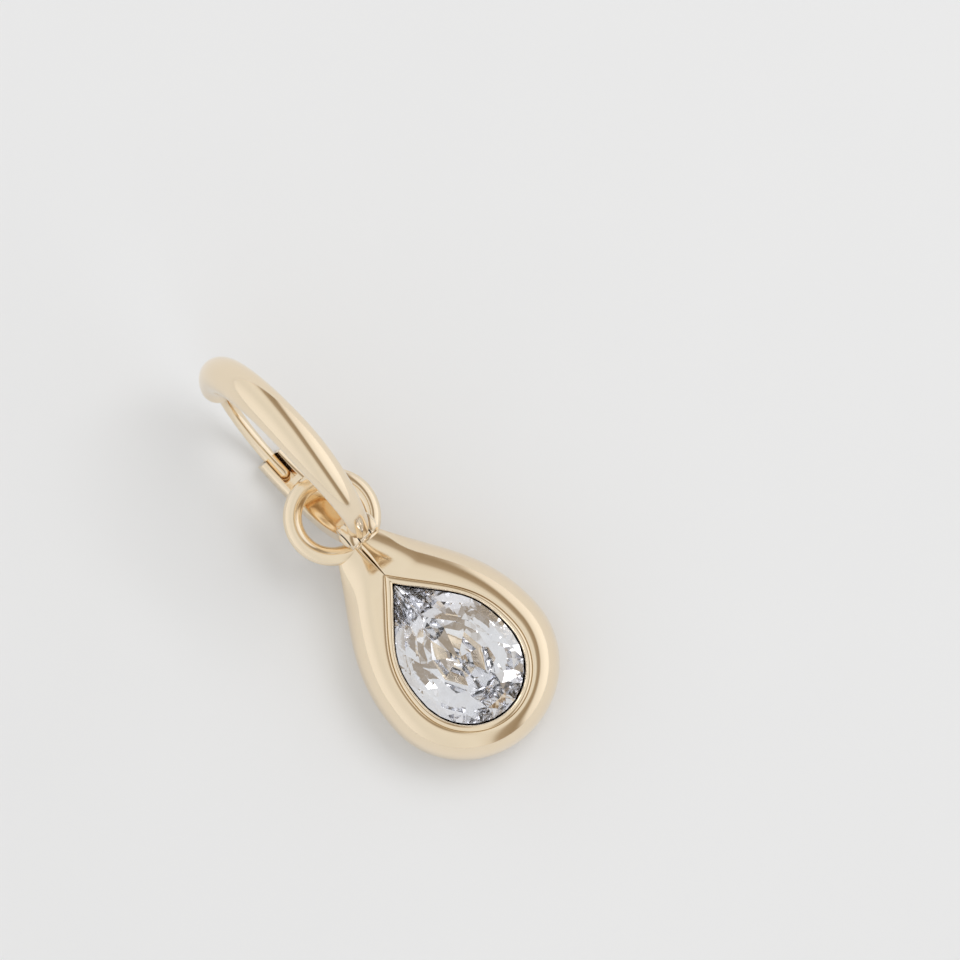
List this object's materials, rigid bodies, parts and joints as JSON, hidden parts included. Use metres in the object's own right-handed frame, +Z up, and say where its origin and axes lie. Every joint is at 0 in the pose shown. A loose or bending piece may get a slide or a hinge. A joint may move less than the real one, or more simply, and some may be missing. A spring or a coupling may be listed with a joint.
{
  "type": "teardrop hoop earring",
  "caption": "Small hinged hoop earring with a puffed gold-tone teardrop drop that holds a clear pear cut stone in a raised rim.",
  "frame": {"origin": "middle of the bounding box's footprint, on the surface that the earring lies on", "axes": "+Z up from the surface, +X along the drop from the hoop towards its round end, +Y across the drop"},
  "size_m": [0.0272, 0.0106, 0.0131],
  "materials": {
    "gold": "polished gold plating",
    "crystal": "clear faceted crystal"
  },
  "bodies": {
    "drop_and_back": {"hoop_back": "gold", "hinge_pin": "gold", "pendant_frame": "gold", "stone": "crystal"},
    "front": {"hoop_front": "gold"}
  },
  "joints": [
    {"name": "hoop_hinge", "type": "hinge", "parent": "drop_and_back", "child": "front", "pos_m": [-0.00118, 0.00046, 0.00672], "axis": [0, 0.9914, -0.1305], "range_deg": [0, 65]}
  ]
}
